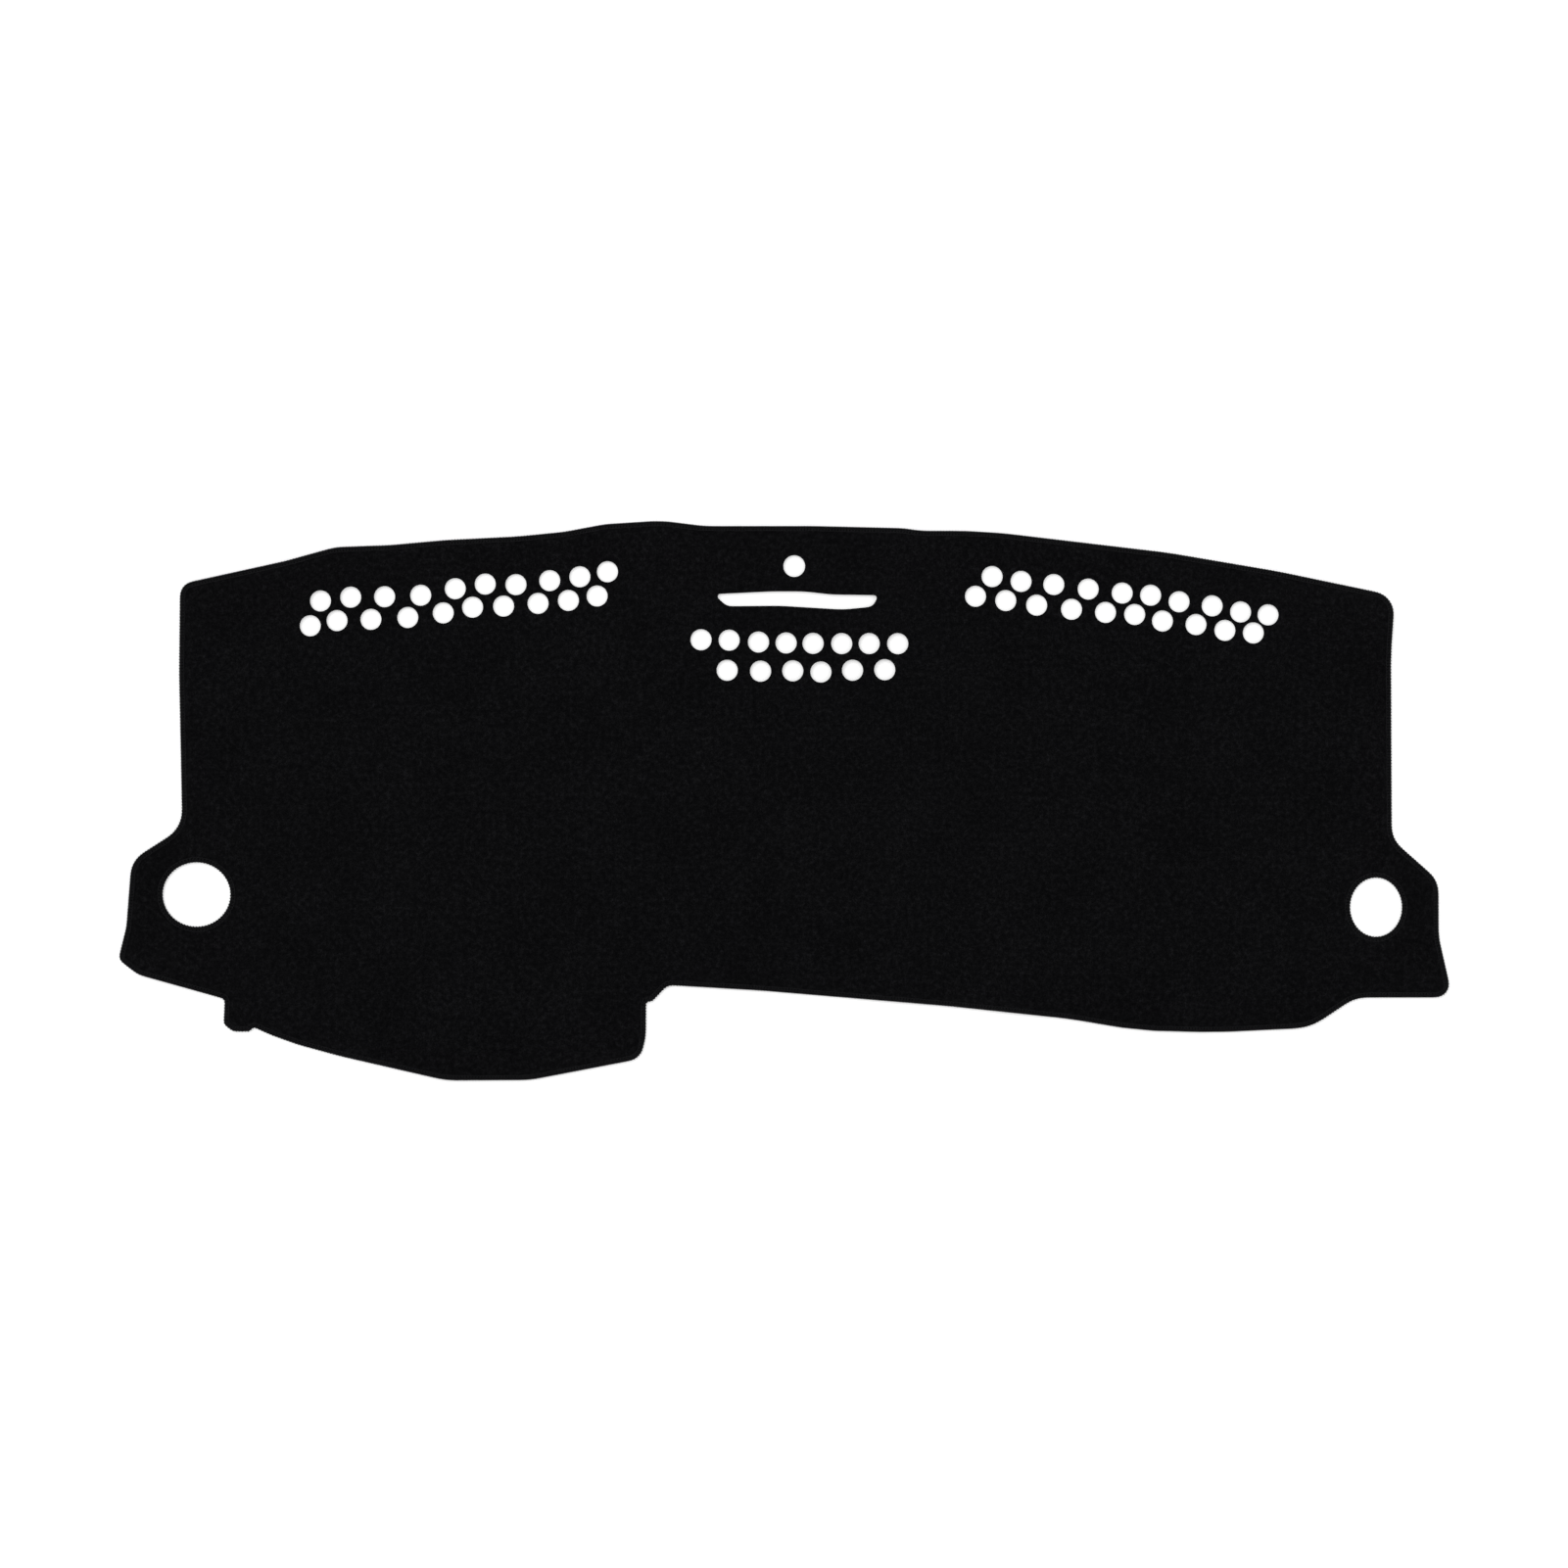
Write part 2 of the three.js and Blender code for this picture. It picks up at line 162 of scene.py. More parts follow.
@dataclass(frozen=True)
class NeedleFelt:
    """Black polyester needle felt: matt, light-trapping, with matted fibres and faint clouding.

    The fibres are 0.03 mm thick in reality. They are drawn as strands about 0.8 mm wide, over tufts of
    5 mm that the whole mat's view still shows. The needles leave a dimple every 4 mm.
    """

    name: str = "polyester_needle_felt"
    # Painted shade for the relief's hollows, then the felt's own black, then a painted highlight for the
    # raised fibres
    painted_hollow_shade: str = "#030304"
    body: str = "#09090A"
    fibre: str = "#19191B"
    strand_width: float = 0.8 * MM
    strand_length: float = 4.5 * MM
    curl: float = 2.6 * MM
    curl_size: float = 6 * MM
    strand_turns: tuple[float, ...] = (28.0, -35.0, 88.0)
    tuft: float = 5 * MM
    tuft_share: float = 0.42
    dimple_pitch: float = 4 * MM
    dimple_radius: float = 0.55 * MM
    dimple_slope: float = 1.6
    dimple_depth: float = 0.16
    shade_heights: tuple[float, ...] = (0.42, 0.55, 0.72)
    cloud: float = 90 * MM
    cloud_strength: tuple[float, ...] = (0.8, 1.2)
    relief: float = 0.5 * MM
    relief_strength: float = 0.9
    roughness: float = 0.95
    specular: float = 0.03
    sheen: float = 0.2
    sheen_roughness: float = 0.5
    sheen_tint: str = "#45454B"

    def curled(self, tree: bpy.types.NodeTree, place: bpy.types.NodeSocket) -> bpy.types.NodeSocket:
        """Bend the coordinates, so that strands curl instead of running straight.

        Args:
            tree: Material's node tree.
            place: Object coordinates.

        Returns:
            The bent coordinates.
        """
        bend = add_node(tree, "ShaderNodeTexNoise", {
            "Vector": place,
            "Scale": 1 / self.curl_size,
            "Detail": 2.0,
        })
        centred = add_node(tree, "ShaderNodeVectorMath", {
            0: bend.outputs["Color"],
            1: (0.5, 0.5, 0.5),
        }, operation="SUBTRACT")
        moved = add_node(tree, "ShaderNodeVectorMath", {
            0: centred.outputs[0],
            1: (2 * self.curl, 2 * self.curl, 2 * self.curl),
            2: place,
        }, operation="MULTIPLY_ADD")
        return moved.outputs[0]

    def strands(self, tree: bpy.types.NodeTree, place: bpy.types.NodeSocket,
                turn: float) -> bpy.types.NodeSocket:
        """Add one layer of matted strands that mostly run one way.

        Args:
            tree: Material's node tree.
            place: Bent coordinates.
            turn: Direction of the strands in the plane, in degrees.

        Returns:
            The layer's height, 0 to 1.
        """
        turned = add_node(tree, "ShaderNodeMapping", {
            "Vector": place,
            "Rotation": (0.0, 0.0, math.radians(turn)),
        })
        stretched = add_node(tree, "ShaderNodeMapping", {
            "Vector": turned.outputs["Vector"],
            "Scale": (1 / self.strand_length, 1 / self.strand_width, 1 / self.strand_width),
        })
        layer = add_node(tree, "ShaderNodeTexNoise", {
            "Vector": stretched.outputs["Vector"],
            "Scale": 1.0,
            "Detail": 2.0,
            "Roughness": 0.55,
        })
        return layer.outputs["Fac"]

    def dimples(self, tree: bpy.types.NodeTree, place: bpy.types.NodeSocket) -> bpy.types.NodeSocket:
        """Add the small hollows that the felting needles leave.

        Args:
            tree: Material's node tree.
            place: Object coordinates.

        Returns:
            1 in the middle of a dimple and 0 outside.
        """
        grid = add_node(tree, "ShaderNodeTexVoronoi", {
            "Vector": place,
            "Scale": 1 / self.dimple_pitch,
            "Randomness": 0.75,
        }, voronoi_dimensions="2D")
        hollow = add_node(tree, "ShaderNodeMapRange", {
            "Value": grid.outputs["Distance"],
            "From Min": self.dimple_slope * self.dimple_radius / self.dimple_pitch,
            "From Max": 0.0,
        }, interpolation_type="SMOOTHSTEP")
        return hollow.outputs[0]

    def height(self, tree: bpy.types.NodeTree, place: bpy.types.NodeSocket) -> bpy.types.NodeSocket:
        """Add the felt's relief: three crossing layers of curled strands over tufts, with dimples.

        Args:
            tree: Material's node tree.
            place: Object coordinates.

        Returns:
            The relief, about 0 to 1.
        """
        bent = self.curled(tree, place)
        first, second, third = (self.strands(tree, bent, turn) for turn in self.strand_turns)
        crossed = add_node(tree, "ShaderNodeMath", {0: first, 1: second}, operation="MAXIMUM")
        matted = add_node(tree, "ShaderNodeMath", {0: crossed.outputs[0], 1: third}, operation="MAXIMUM")
        tufts = add_node(tree, "ShaderNodeTexNoise", {
            "Vector": place,
            "Scale": 1 / self.tuft,
            "Detail": 3.0,
            "Roughness": 0.6,
        })
        mixed = add_node(tree, "ShaderNodeMix", {
            "Factor": self.tuft_share,
            2: matted.outputs[0],
            3: tufts.outputs["Fac"],
        }, data_type="FLOAT")
        pressed = add_node(tree, "ShaderNodeMath", {
            0: self.dimples(tree, place),
            1: -self.dimple_depth,
            2: mixed.outputs[0],
        }, operation="MULTIPLY_ADD")
        return pressed.outputs[0]

    def colour(self, tree: bpy.types.NodeTree, place: bpy.types.NodeSocket,
               height: bpy.types.NodeSocket) -> bpy.types.NodeSocket:
        """Add the felt's colour: painted shade in the relief's low parts and needle dimples, a painted
        highlight on the raised fibres, and dye that clouds a little.

        Args:
            tree: Material's node tree.
            place: Object coordinates.
            height: Relief of the felt.

        Returns:
            The colour.
        """
        # Painted shade and highlight: the relief's height picks the colour, darker in its hollows and
        # dimples and lighter on raised strands
        ramp = add_node(tree, "ShaderNodeValToRGB", {"Fac": height})
        set_ramp(ramp, list(zip(self.shade_heights, (self.painted_hollow_shade, self.body, self.fibre))))
        clouds = add_node(tree, "ShaderNodeTexNoise", {
            "Vector": place,
            "Scale": 1 / self.cloud,
            "Detail": 5.0,
            "Roughness": 0.6,
        })
        strength = add_node(tree, "ShaderNodeMapRange", {
            "Value": clouds.outputs["Fac"],
            "From Min": 0.3,
            "From Max": 0.7,
            "To Min": self.cloud_strength[0],
            "To Max": self.cloud_strength[1],
        })
        clouded = add_node(tree, "ShaderNodeVectorMath", {
            0: ramp.outputs["Color"],
            "Scale": strength.outputs[0],
        }, operation="SCALE")
        return clouded.outputs[0]

    def build(self) -> bpy.types.Material:
        """Make the material.

        Returns:
            The material.
        """
        material, tree = new_material(self.name)
        place = add_node(tree, "ShaderNodeTexCoord").outputs["Object"]
        height = self.height(tree, place)
        bump = add_node(tree, "ShaderNodeBump", {
            "Height": height,
            "Strength": self.relief_strength,
            "Distance": self.relief,
        })
        shader = add_node(tree, "ShaderNodeBsdfPrincipled", {
            "Base Color": self.colour(tree, place, height),
            "Roughness": self.roughness,
            "Specular IOR Level": self.specular,
            "Sheen Weight": self.sheen,
            "Sheen Roughness": self.sheen_roughness,
            "Sheen Tint": linear(self.sheen_tint),
            "Normal": bump.outputs["Normal"],
        })
        add_node(tree, "ShaderNodeOutputMaterial", {"Surface": shader.outputs[0]})
        return material


@dataclass(frozen=True)
class GripBacking:
    """Underside of the felt: the same black fibre, singed smooth, with printed silicone grip dots."""

    name: str = "singed_felt_with_silicone_dots"
    fibre: str = "#080809"
    silicone: str = "#1A1A1D"
    dot_pitch: float = 12 * MM
    dot_radius: float = 1.6 * MM
    dot_slope: float = 0.7
    dot_height: float = 0.35 * MM
    fuzz_per_metre: float = 600.0
    fuzz_height: float = 0.3 * MM
    fibre_roughness: float = 0.95
    silicone_roughness: float = 0.42
    specular: float = 0.08

    def build(self) -> bpy.types.Material:
        """Make the material.

        Returns:
            The material.
        """
        material, tree = new_material(self.name)
        place = add_node(tree, "ShaderNodeTexCoord").outputs["Object"]
        grid = add_node(tree, "ShaderNodeTexVoronoi", {
            "Vector": place,
            "Scale": 1 / self.dot_pitch,
            "Randomness": 0.0,
        }, voronoi_dimensions="2D")
        rim = self.dot_radius / self.dot_pitch
        dots = add_node(tree, "ShaderNodeMapRange", {
            "Value": grid.outputs["Distance"],
            "From Min": rim,
            "From Max": self.dot_slope * rim,
        }, interpolation_type="SMOOTHSTEP")
        fuzz = add_node(tree, "ShaderNodeTexNoise", {
            "Vector": place,
            "Scale": self.fuzz_per_metre,
            "Detail": 4.0,
        })
        colour = add_node(tree, "ShaderNodeMix", {
            "Factor": dots.outputs[0],
            6: linear(self.fibre),
            7: linear(self.silicone),
        }, data_type="RGBA")
        gloss = add_node(tree, "ShaderNodeMapRange", {
            "Value": dots.outputs[0],
            "To Min": self.fibre_roughness,
            "To Max": self.silicone_roughness,
        })
        fuzz_bump = add_node(tree, "ShaderNodeBump", {
            "Height": fuzz.outputs["Fac"],
            "Strength": 0.5,
            "Distance": self.fuzz_height,
        })
        dot_bump = add_node(tree, "ShaderNodeBump", {
            "Height": dots.outputs[0],
            "Distance": self.dot_height,
            "Normal": fuzz_bump.outputs["Normal"],
        })
        shader = add_node(tree, "ShaderNodeBsdfPrincipled", {
            "Base Color": colour.outputs[2],
            "Roughness": gloss.outputs[0],
            "Specular IOR Level": self.specular,
            "Normal": dot_bump.outputs["Normal"],
        })
        add_node(tree, "ShaderNodeOutputMaterial", {"Surface": shader.outputs[0]})
        return material


@dataclass(frozen=True)
class CutFelt:
    """Wall of a die-cut opening: the die presses the fibre ends into a denser, slightly shinier face.

    The face shows the felt's layers as faint level bands.
    """

    name: str = "die_cut_felt_wall"
    fibre: str = "#080809"
    end: str = "#161618"
    layer: float = 0.5 * MM
    grain: float = 1.2 * MM
    relief: float = 0.3 * MM
    roughness: float = 0.85
    specular: float = 0.08

    def build(self) -> bpy.types.Material:
        """Make the material.

        Returns:
            The material.
        """
        material, tree = new_material(self.name)
        place = add_node(tree, "ShaderNodeTexCoord").outputs["Object"]
        flattened = add_node(tree, "ShaderNodeMapping", {
            "Vector": place,
            "Scale": (1 / self.grain, 1 / self.grain, 1 / self.layer),
        })
        ends = add_node(tree, "ShaderNodeTexNoise", {
            "Vector": flattened.outputs["Vector"],
            "Scale": 1.0,
            "Detail": 3.0,
        })
        ramp = add_node(tree, "ShaderNodeValToRGB", {"Fac": ends.outputs["Fac"]})
        set_ramp(ramp, [(0.35, self.fibre), (0.7, self.end)])
        bump = add_node(tree, "ShaderNodeBump", {
            "Height": ends.outputs["Fac"],
            "Strength": 0.7,
            "Distance": self.relief,
        })
        shader = add_node(tree, "ShaderNodeBsdfPrincipled", {
            "Base Color": ramp.outputs["Color"],
            "Roughness": self.roughness,
            "Specular IOR Level": self.specular,
            "Normal": bump.outputs["Normal"],
        })
        add_node(tree, "ShaderNodeOutputMaterial", {"Surface": shader.outputs[0]})
        return material


@dataclass(frozen=True)
class BulkedThread:
    """Black bulked polyester thread: two plies twisted together, a little glossier than the felt.

    Its map runs in millimetres along the thread and once round it, so the twist follows the thread.
    Each ply winds once round the thread in one lead, which is in millimetres too.
    """

    name: str = "bulked_polyester_thread"
    # Painted shade: groove darkens the twist's grooves between the plies, and ply is the thread's own black
    groove: str = "#040405"
    ply: str = "#1A1A1C"
    plies: int = 2
    lead: float = 2.2
    relief: float = 0.2 * MM
    roughness: float = 0.6
    groove_specular: float = 0.02
    ply_specular: float = 0.12

    def build(self) -> bpy.types.Material:
        """Make the material.

        Returns:
            The material.
        """
        material, tree = new_material(self.name)
        along = add_node(tree, "ShaderNodeUVMap", uv_map="thread")
        # The wave node's diagonal bands lie 2 pi / 10 apart at scale 1, so one ply is scaled to that
        band = math.pi / 5
        wave = add_node(tree, "ShaderNodeTexWave", {
            "Vector": add_node(tree, "ShaderNodeMapping", {
                "Vector": along.outputs["UV"],
                "Scale": (band * self.plies / self.lead, band * self.plies, 0.0),
            }).outputs["Vector"],
            "Scale": 1.0,
            "Distortion": 0.5,
            "Detail": 1.0,
        }, wave_type="BANDS", bands_direction="DIAGONAL")
        # Painted shade in the twist's grooves, on the same bands as the bump
        colour = add_node(tree, "ShaderNodeMix", {
            "Factor": wave.outputs["Fac"],
            6: linear(self.groove),
            7: linear(self.ply),
        }, data_type="RGBA")
        bump = add_node(tree, "ShaderNodeBump", {
            "Height": wave.outputs["Fac"],
            "Strength": 0.8,
            "Distance": self.relief,
        })
        gloss = add_node(tree, "ShaderNodeMapRange", {
            "Value": wave.outputs["Fac"],
            "To Min": self.groove_specular,
            "To Max": self.ply_specular,
        })
        shader = add_node(tree, "ShaderNodeBsdfPrincipled", {
            "Base Color": colour.outputs[2],
            "Roughness": self.roughness,
            "Specular IOR Level": gloss.outputs[0],
            "Normal": bump.outputs["Normal"],
        })
        add_node(tree, "ShaderNodeOutputMaterial", {"Surface": shader.outputs[0]})
        return material


@dataclass(frozen=True)
class StudioFloor:
    """Matt white paper floor that reads as pure white and still takes the mat's shadow."""

    name: str = "white_paper"
    shade: str = "#F2F2F2"
    lift: float = 0.3

    def build(self) -> bpy.types.Material:
        """Make the material, which glows a little for what looks straight at it.

        Returns:
            The material.
        """
        material, tree = new_material(self.name)
        paper = add_node(tree, "ShaderNodeBsdfDiffuse", {"Color": linear(self.shade)})
        rays = add_node(tree, "ShaderNodeLightPath")
        seen = add_node(tree, "ShaderNodeMath", {
            0: rays.outputs["Is Camera Ray"],
            1: self.lift,
        }, operation="MULTIPLY")
        glow = add_node(tree, "ShaderNodeEmission", {"Strength": seen.outputs[0]})
        both = add_node(tree, "ShaderNodeAddShader", {0: paper.outputs[0], 1: glow.outputs[0]})
        add_node(tree, "ShaderNodeOutputMaterial", {"Surface": both.outputs[0]})
        return material


def link(piece: bpy.types.Object) -> bpy.types.Object:
    """Put an object in the scene and return it."""
    bpy.context.scene.collection.objects.link(piece)
    return piece


def activate(piece: bpy.types.Object) -> None:
    """Select one object alone and make it active, because that is what an operator acts on.

    Args:
        piece: Object to select.
    """
    bpy.ops.object.select_all(action="DESELECT")
    piece.select_set(True)
    bpy.context.view_layer.objects.active = piece


def turn_left(vectors: np.ndarray) -> np.ndarray:
    """Plane vectors turned a quarter to the left."""
    return np.stack([-vectors[:, 1], vectors[:, 0]], axis=1)


def unit(vectors: np.ndarray) -> np.ndarray:
    """Vectors at length 1."""
    return vectors / np.maximum(np.linalg.norm(vectors, axis=1, keepdims=True), 1e-12)


def inside(points: np.ndarray, outline: np.ndarray) -> np.ndarray:
    """Tell which points lie in a closed outline, by counting the edges that each one's ray crosses.

    Args:
        points: Plane points, one per row.
        outline: Corners of the outline, in order.

    Returns:
        True for each point inside.
    """
    odd = np.zeros(len(points), bool)
    for (ax, ay), (bx, by) in zip(outline, np.roll(outline, -1, axis=0)):
        if ay == by:
            continue
        spans = (ay > points[:, 1]) != (by > points[:, 1])
        odd ^= spans & (points[:, 0] < (bx - ax) * (points[:, 1] - ay) / (by - ay) + ax)
    return odd


@dataclass
class EdgeLoop:
    """One closed edge of the mat in plan, walked with the felt on its left."""

    points: np.ndarray
    finish: EdgeFinish

    @property
    def length(self) -> float:
        """Length right round."""
        return float(self.starts[-1])

    @property
    def starts(self) -> np.ndarray:
        """Distance along the loop to each point, and at the end the full length."""
        steps = np.linalg.norm(np.roll(self.points, -1, axis=0) - self.points, axis=1)
        return np.concatenate([[0.0], np.cumsum(steps)])

    def at(self, distances: np.ndarray) -> np.ndarray:
        """Places at distances along the loop.

        Args:
            distances: Distances from the first point, which wrap round.

        Returns:
            One plane point per distance.
        """
        closed = np.vstack([self.points, self.points[:1]])
        wrapped = np.mod(distances, self.length)
        return np.stack([np.interp(wrapped, self.starts, closed[:, k]) for k in (0, 1)], axis=1)

    def inward(self, distances: np.ndarray, reach: float) -> np.ndarray:
        """Directions into the felt at distances along the loop, smoothed over a stretch.

        Args:
            distances: Distances from the first point.
            reach: How far to each side the direction is read.

        Returns:
            One unit vector per distance.
        """
        return unit(turn_left(self.at(distances + reach) - self.at(distances - reach)))

    def inset(self, depth: float) -> np.ndarray:
        """The loop's own points moved into the felt, with mitred corners.

        Args:
            depth: How far in.

        Returns:
            One plane point per point of the loop.
        """
        ahead = turn_left(unit(np.roll(self.points, -1, axis=0) - self.points))
        behind = np.roll(ahead, 1, axis=0)
        middle = unit(ahead + behind)
        stretch = 1 / np.clip((middle * ahead).sum(axis=1), 1 / MITRE_LIMIT, None)
        return self.points + middle * (depth * stretch)[:, None]


@dataclass
class MatPlan:
    """The mat's edges in plan, read from the CAD mat's section at half its thickness."""

    node: bpy.types.Object
    thickness: float
    facet: float = 3.4 * MM
    smoothing: int = 2
    straight: float = math.radians(0.6)
    evenness: float = 1.8
    merge: float = 0.001 * MM
    seamed_depth: float = 40 * MM
    loops: list[EdgeLoop] = field(default_factory=list)

    def read(self) -> None:
        """Cut the CAD mat and keep its edges: the outline first, then the openings."""
        found = sorted((self.tidy(loop) for loop in self.section()), key=self.area, reverse=True)
        for index, points in enumerate(found):
            span = np.ptp(points, axis=0)
            is_seamed = index == 0 or min(span) > self.seamed_depth
            finish = EdgeFinish.OVERLOCKED if is_seamed else EdgeFinish.DIE_CUT
            is_left_handed = self.signed_area(points) > 0
            self.loops.append(EdgeLoop(points if is_left_handed == (index == 0) else points[::-1], finish))

    @property
    def seamed(self) -> list[EdgeLoop]:
        """The overlocked edges, the outline first and then the vents by size."""
        return [loop for loop in self.loops if loop.finish is EdgeFinish.OVERLOCKED]

    @property
    def flat_area(self) -> float:
        """Area of the felt in plan, without its openings."""
        outline, *openings = (self.area(loop.points) for loop in self.loops)
        return outline - sum(openings)

    def section(self) -> list[np.ndarray]:
        """Bisect a merged copy of the CAD mat level at half its thickness, and walk the cut.

        Returns:
            The corners of each closed loop of the cut, in order.
        """
        cut = link(bpy.data.objects.new("section", self.node.data.copy()))
        activate(cut)
        bpy.ops.object.mode_set(mode="EDIT")
        bpy.ops.mesh.select_all(action="SELECT")
        bpy.ops.mesh.remove_doubles(threshold=self.merge)
        bpy.ops.mesh.bisect(
            plane_co=(0, 0, self.thickness / 2),
            plane_no=(0, 0, 1),
            clear_inner=True,
            clear_outer=True,
        )
        bpy.ops.object.mode_set(mode="OBJECT")
        places = np.array([vert.co.xy for vert in cut.data.vertices])
        beside: dict[int, list[int]] = {}
        for edge in cut.data.edges:
            for here, there in (edge.vertices, reversed(edge.vertices)):
                beside.setdefault(here, []).append(there)
        bpy.data.meshes.remove(cut.data)

        loops, seen = [], set()
        for start in sorted(beside):
            walk, here = [], start
            while here is not None and here not in seen:
                seen.add(here)
                walk.append(here)
                here = next((there for there in beside[here] if there not in seen), None)
            if walk:
                loops.append(places[walk])
        return loops

    @staticmethod
    def signed_area(points: np.ndarray) -> float:
        """Area inside a loop, below zero where the loop runs clockwise."""
        ahead = np.roll(points, -1, axis=0)
        return float((points[:, 0] * ahead[:, 1] - ahead[:, 0] * points[:, 1]).sum() / 2)

    @staticmethod
    def area(points: np.ndarray) -> float:
        """Area inside a loop."""
        return abs(MatPlan.signed_area(points))

    def tidy(self, points: np.ndarray) -> np.ndarray:
        """Drop the points that lie on a straight run, then split what is left into even short facets.

        A loop whose sides are all much the same length is a round opening, and its facets follow a curve.

        Args:
            points: Corners of a loop.

        Returns:
            The loop's new corners.
        """
        ahead = np.roll(points, -1, axis=0) - points
        behind = points - np.roll(points, 1, axis=0)
        crossed = behind[:, 0] * ahead[:, 1] - behind[:, 1] * ahead[:, 0]
        turn = np.abs(np.arctan2(crossed, (behind * ahead).sum(axis=1)))
        kept = points[turn > self.straight]
        lengths = np.linalg.norm(np.roll(kept, -1, axis=0) - kept, axis=1)
        is_round = lengths.max() < self.evenness * lengths.min()
        split = []
        for i, length in enumerate(lengths):
            before, start, end, after = (kept[(i + k) % len(kept)] for k in (-1, 0, 1, 2))
            pieces = max(1, math.ceil(length / self.facet))
            for t in np.arange(pieces) / pieces:
                if is_round:
                    split.append(self.eased(before, start, end, after, t))
                else:
                    split.append(start + (end - start) * t)
        smooth = np.array(split)
        for _ in range(0 if is_round else self.smoothing):
            smooth = (np.roll(smooth, 1, axis=0) + 2 * smooth + np.roll(smooth, -1, axis=0)) / 4
        return smooth

    @staticmethod
    def eased(before: np.ndarray, start: np.ndarray, end: np.ndarray, after: np.ndarray,
              t: float) -> np.ndarray:
        """A place on the smooth curve through four evenly spaced points.

        Args:
            before: Point before the stretch.
            start: Start of the stretch.
            end: End of the stretch.
            after: Point after the stretch.
            t: Part of the way along the stretch.

        Returns:
            The place.
        """
        linear_part = (end - before) * t
        square_part = (2 * before - 5 * start + 4 * end - after) * t ** 2
        cubic_part = (3 * start - before - 3 * end + after) * t ** 3
        return start + (linear_part + square_part + cubic_part) / 2


@dataclass
class FeltSheet:
    """The felt blank: a closed sheet that lies almost flat, drawn in along its overlocked edges.

    Its waves come from smooth noise, each kind read at a level of its own so that they differ.
    """

    plan: MatPlan
    thickness: float
    seam_inset: float = 5.0 * MM
    seam_dip: float = 0.45 * MM
    seam_width: float = 1.3 * MM
    edge_pinch: float = 0.35 * MM
    underside_pinch: float = 0.8 * MM
    pinch_reach: float = 6.5 * MM
    pinch_fade: float = 3.0 * MM
    pile_stand: float = 0.08 * MM
    rounding: dict[EdgeFinish, float] = field(default_factory=lambda: {
        EdgeFinish.OVERLOCKED: 1.45 * MM,
        EdgeFinish.DIE_CUT: 0.6 * MM,
    })
    rounding_steps: int = 3
    grid: float = 8.0 * MM
    grid_clearance: float = 0.45
    seam_rows: tuple[float, ...] = (3.2 * MM, 5.0 * MM, 7.0 * MM)
    row_clearance: float = 0.93
    edge_clearance: float = 2.2 * MM
    wave_gain: float = 1.6
    swell: float = 1.8 * MM
    swell_size: tuple[float, float] = (0.40, 0.27)
    swell_start: float = 0.02
    flutter: float = 0.9 * MM
    flutter_size: float = 0.075
    flutter_reach: float = 55 * MM
    unevenness: float = 0.1 * MM
    unevenness_size: float = 0.02
    swell_level: float = 3.1
    flutter_level: float = 7.7
    unevenness_level: float = 1.3

    def __post_init__(self) -> None:
        """Index the overlocked edges, and all edges, by place."""
        self.seamed = self.tree_of(self.plan.seamed)
        self.cut = self.tree_of(self.plan.loops)

    @staticmethod
    def tree_of(loops: list[EdgeLoop], step: float = 0.8 * MM) -> kdtree.KDTree:
        """Make a tree of close places along loops.

        Args:
            loops: Loops to sample.
            step: Distance between samples.

        Returns:
            The balanced tree.
        """
        places = np.vstack([loop.at(np.arange(0, loop.length, step)) for loop in loops])
        tree = kdtree.KDTree(len(places))
        for index, (x, y) in enumerate(places):
            tree.insert((x, y, 0.0), index)
        tree.balance()
        return tree

    @staticmethod
    def distance(tree: kdtree.KDTree, points: np.ndarray) -> np.ndarray:
        """Distance from each point to the nearest place in a tree."""
        return np.array([tree.find((x, y, 0.0))[2] for x, y in points])

    def lift(self, points: np.ndarray) -> np.ndarray:
        """How high the felt's underside stands off the floor: a slow swell, and a flutter at the seam.

        Args:
            points: Plane points.

        Returns:
            One height per point.
        """
        near = np.clip(1 - self.distance(self.seamed, points) / self.flutter_reach, 0, 1)
        broad = self.waves(points, self.swell_size, self.swell_level) - self.swell_start
        quick = self.waves(points, (self.flutter_size, self.flutter_size), self.flutter_level)
        swell = self.swell * self.wave_gain * np.maximum(broad, 0)
        return self.pile_stand + swell + self.flutter * self.wave_gain * np.maximum(quick, 0) * near ** 2

    @staticmethod
    def waves(points: np.ndarray, size: tuple[float, float], level: float) -> np.ndarray:
        """Smooth random waves over the plane, between -1 and 1.

        Args:
            points: Plane points.
            size: Length of the waves across and back.
            level: Level of the noise that they are read at.

        Returns:
            One value per point.
        """
        return np.array([noise.noise(Vector((x / size[0], y / size[1], level))) for x, y in points])

    def pull(self, distance: np.ndarray) -> np.ndarray:
        """Share of the seam's pull at a distance from an overlocked edge, 1 at the edge itself."""
        share = np.clip((self.pinch_reach - distance) / self.pinch_fade, 0, 1)
        return share * share * (3 - 2 * share)

    def sink(self, distance: np.ndarray) -> np.ndarray:
        """How far the seam draws the upper face down at a distance from an overlocked edge."""
        groove = np.exp(-(((distance - self.seam_inset) / self.seam_width) ** 2))
        return self.edge_pinch * self.pull(distance) + self.seam_dip * groove

    def upper(self, points: np.ndarray) -> np.ndarray:
        """Heights of the upper face.

        Args:
            points: Plane points.

        Returns:
            One height per point.
        """
        rough = self.waves(points, (self.unevenness_size, self.unevenness_size), self.unevenness_level)
        sunk = self.sink(self.distance(self.seamed, points))
        return self.lift(points) + self.thickness - sunk + self.unevenness * rough

    def lower(self, points: np.ndarray) -> np.ndarray:
        """Heights of the underside."""
        return self.lift(points) + self.underside_pinch * self.pull(self.distance(self.seamed, points))

    def filling(self) -> np.ndarray:
        """Points inside the felt: rows along the seams, and a staggered grid over the rest.

        Returns:
            Plane points that lie on felt and clear of every edge.
        """
        rows = []
        for loop in self.plan.seamed:
            for depth in self.seam_rows:
                row = loop.inset(depth)
                rows.append(row[self.distance(self.seamed, row) > self.row_clearance * depth])

